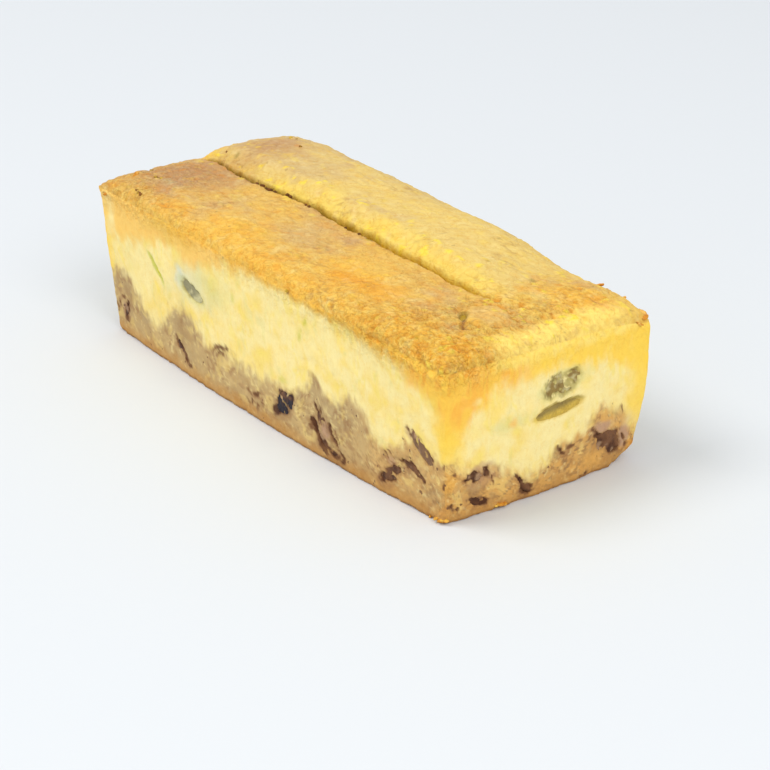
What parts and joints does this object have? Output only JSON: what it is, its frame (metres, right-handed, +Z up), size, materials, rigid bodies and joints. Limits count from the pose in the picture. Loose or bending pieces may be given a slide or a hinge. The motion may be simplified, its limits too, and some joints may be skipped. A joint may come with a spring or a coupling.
{
  "type": "pound cake loaf",
  "caption": "Whole baked loaf cake with a slit, humped golden top, a pale yellow upper layer, a tan lower layer, and red beans and green fruit showing in the walls.",
  "frame": {"origin": "middle of the flat base", "axes": "+X along the loaf towards the end with the lower, rounded far corner; +Z up; -Y faces the long side with the most beans"},
  "size_m": [0.1776, 0.076, 0.0577],
  "materials": {
    "yellow_crumb": "baked crumb, browned and slightly glossy on top, soft and matt on the sides",
    "bean_crumb": "soft matt crumb with bean specks, browned along the base edge",
    "red_bean": "moist wrinkled bean skin",
    "green_fruit": "moist candied fruit"
  },
  "bodies": {
    "root": {"yellow_crumb": "yellow_crumb", "bean_crumb": "bean_crumb", "red_bean_near_1": "red_bean", "red_bean_near_2": "red_bean", "red_bean_near_3": "red_bean", "red_bean_near_4": "red_bean", "red_bean_near_5": "red_bean", "red_bean_near_6": "red_bean", "red_bean_near_7": "red_bean", "red_bean_right_1": "red_bean", "red_bean_right_2": "red_bean", "red_bean_right_3": "red_bean", "red_bean_right_4": "red_bean", "red_bean_right_5": "red_bean", "red_bean_far_1": "red_bean", "red_bean_far_2": "red_bean", "red_bean_far_3": "red_bean", "red_bean_far_4": "red_bean", "red_bean_far_5": "red_bean", "red_bean_far_6": "red_bean", "red_bean_left_1": "red_bean", "red_bean_left_2": "red_bean", "red_bean_left_3": "red_bean", "green_fruit_near_1": "green_fruit", "green_fruit_near_2": "green_fruit", "green_fruit_right_1": "green_fruit", "green_fruit_right_2": "green_fruit", "green_fruit_far_1": "green_fruit", "green_fruit_left_1": "green_fruit", "green_fruit_top_1": "green_fruit"}
  },
  "joints": []
}
